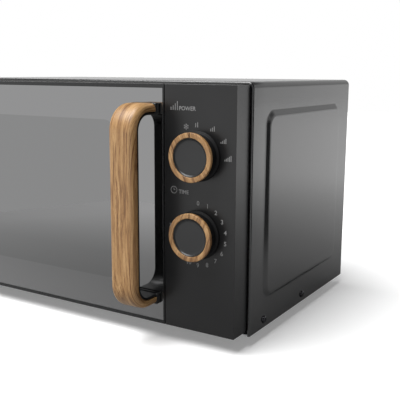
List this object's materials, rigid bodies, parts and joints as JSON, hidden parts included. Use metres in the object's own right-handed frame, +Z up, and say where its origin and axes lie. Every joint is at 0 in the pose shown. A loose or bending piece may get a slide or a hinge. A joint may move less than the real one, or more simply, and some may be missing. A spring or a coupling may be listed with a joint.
{
  "type": "microwave oven",
  "caption": "Compact countertop microwave oven with a side-hinged mirror door, wood-covered pull handle, two rotary controls, glass turntable and black steel case.",
  "frame": {"origin": "centre of the footprint at the level of the feet's undersides", "axes": "+Z up, the door and controls face -Y, +X to the right seen from the front"},
  "size_m": [0.446, 0.327, 0.2593],
  "materials": {
    "case_paint": "satin black paint",
    "zinc_steel": "zinc-plated sheet",
    "cavity_enamel": "pale grey enamel",
    "panel_plastic": "black, fine satin moulding",
    "door_plastic": "black moulding",
    "wood_effect": "light brown wood with dark straight grain",
    "mirror_glass": "grey mirror-coated glass",
    "clear_glass": "clear",
    "rubber_foot": "matt black",
    "black_screw": "black plated",
    "white_plastic": "natural white moulding",
    "black_electrics": "black moulding",
    "lamination_steel": "varnished laminations",
    "copper_winding": "enamelled copper",
    "mica_sheet": "mica sheet",
    "circuit_board": "brown laminate board"
  },
  "bodies": {
    "chassis": {"outer_case": "case_paint", "base_plate": "zinc_steel", "back_panel": "zinc_steel", "front_plate": "cavity_enamel", "cavity_liner": "cavity_enamel", "waveguide_cover": "mica_sheet", "waveguide": "zinc_steel", "control_panel": "panel_plastic", "hinge_upper": "zinc_steel", "hinge_lower": "zinc_steel", "foot_1": "rubber_foot", "foot_2": "rubber_foot", "foot_3": "rubber_foot", "foot_4": "rubber_foot", "case_screw_1": "black_screw", "case_screw_2": "black_screw", "case_screw_3": "black_screw", "case_screw_4": "black_screw", "power_selector": "white_plastic", "timer_unit": "zinc_steel", "timer_bell": "zinc_steel", "latch_housing": "white_plastic", "door_switch_lower": "black_electrics", "door_switch_upper": "black_electrics", "transformer_core": "lamination_steel", "transformer_primary": "copper_winding", "transformer_secondary": "copper_winding", "capacitor": "zinc_steel", "high_voltage_diode": "black_electrics", "magnetron": "zinc_steel", "magnetron_antenna": "copper_winding", "filter_board": "circuit_board", "thermal_cutout": "black_electrics", "lamp_holder": "white_plastic", "lamp_bulb": "clear_glass", "cord_gland": "rubber_foot", "fan_shroud": "white_plastic", "fan_motor": "zinc_steel", "turntable_motor": "zinc_steel"},
    "door": {"door_frame": "door_plastic", "door_glass": "mirror_glass", "door_screen": "cavity_enamel", "choke_cover": "door_plastic", "handle_core": "door_plastic", "handle_grip": "wood_effect"},
    "latch": {"latch_hook": "white_plastic", "latch_spring": "zinc_steel"},
    "power_knob": {"power_knob_body": "panel_plastic", "power_knob_ring": "wood_effect", "power_knob_cap": "panel_plastic"},
    "timer_knob": {"timer_knob_body": "panel_plastic", "timer_knob_ring": "wood_effect", "timer_knob_cap": "panel_plastic"},
    "turntable_drive": {"turntable_coupler": "white_plastic"},
    "tray": {"turntable_plate": "clear_glass"},
    "roller_ring": {"roller_ring": "white_plastic"},
    "roller_1": {"roller_1": "white_plastic"},
    "roller_2": {"roller_2": "white_plastic"},
    "roller_3": {"roller_3": "white_plastic"},
    "fan": {"fan_impeller": "white_plastic"}
  },
  "joints": [
    {"name": "door_hinge", "type": "hinge", "parent": "chassis", "child": "door", "pos_m": [-0.21, -0.104, 0.1372], "axis": [0, 0, -1], "range_deg": [0, 100]},
    {"name": "latch_slide", "type": "slide", "parent": "door", "child": "latch", "axis": [0, 0, 1], "range_m": [0, 0.004], "stiffness_N_per_m": 400, "springref_m": -0.003, "deforming": ["latch_spring"]},
    {"name": "power_knob_turn", "type": "hinge", "parent": "chassis", "child": "power_knob", "pos_m": [0.177, -0.1285, 0.1908], "axis": [0, 1, 0], "range_deg": [-30, 90]},
    {"name": "timer_knob_turn", "type": "hinge", "parent": "chassis", "child": "timer_knob", "pos_m": [0.177, -0.1285, 0.1152], "axis": [0, 1, 0], "range_deg": [0, 280]},
    {"name": "turntable_spin", "type": "hinge", "parent": "chassis", "child": "turntable_drive", "pos_m": [-0.047, 0.02965, 0.045], "axis": [0, 0, 1], "continuous": true},
    {"name": "tray_lift", "type": "slide", "parent": "turntable_drive", "child": "tray", "axis": [0, 0, 1], "range_m": [0, 0.03]},
    {"name": "roller_ring_spin", "type": "hinge", "parent": "chassis", "child": "roller_ring", "pos_m": [-0.047, 0.02965, 0.0455], "axis": [0, 0, 1], "continuous": true},
    {"name": "roller_1_spin", "type": "hinge", "parent": "roller_ring", "child": "roller_1", "pos_m": [-0.047, 0.12115, 0.0455], "axis": [0, 1, 0], "continuous": true},
    {"name": "roller_2_spin", "type": "hinge", "parent": "roller_ring", "child": "roller_2", "pos_m": [-0.12624, -0.0161, 0.0455], "axis": [-0.866, -0.5, 0], "continuous": true},
    {"name": "roller_3_spin", "type": "hinge", "parent": "roller_ring", "child": "roller_3", "pos_m": [0.03224, -0.0161, 0.0455], "axis": [0.866, -0.5, 0], "continuous": true},
    {"name": "fan_spin", "type": "hinge", "parent": "chassis", "child": "fan", "pos_m": [0.16, 0.1415, 0.177], "axis": [0, 1, 0], "continuous": true}
  ],
  "couplings": [
    {"joint": "roller_ring_spin", "follows": "turntable_spin", "ratio": 0.5},
    {"joint": "roller_1_spin", "follows": "turntable_spin", "ratio": -6.3542},
    {"joint": "roller_2_spin", "follows": "turntable_spin", "ratio": -6.3542},
    {"joint": "roller_3_spin", "follows": "turntable_spin", "ratio": -6.3542}
  ]
}
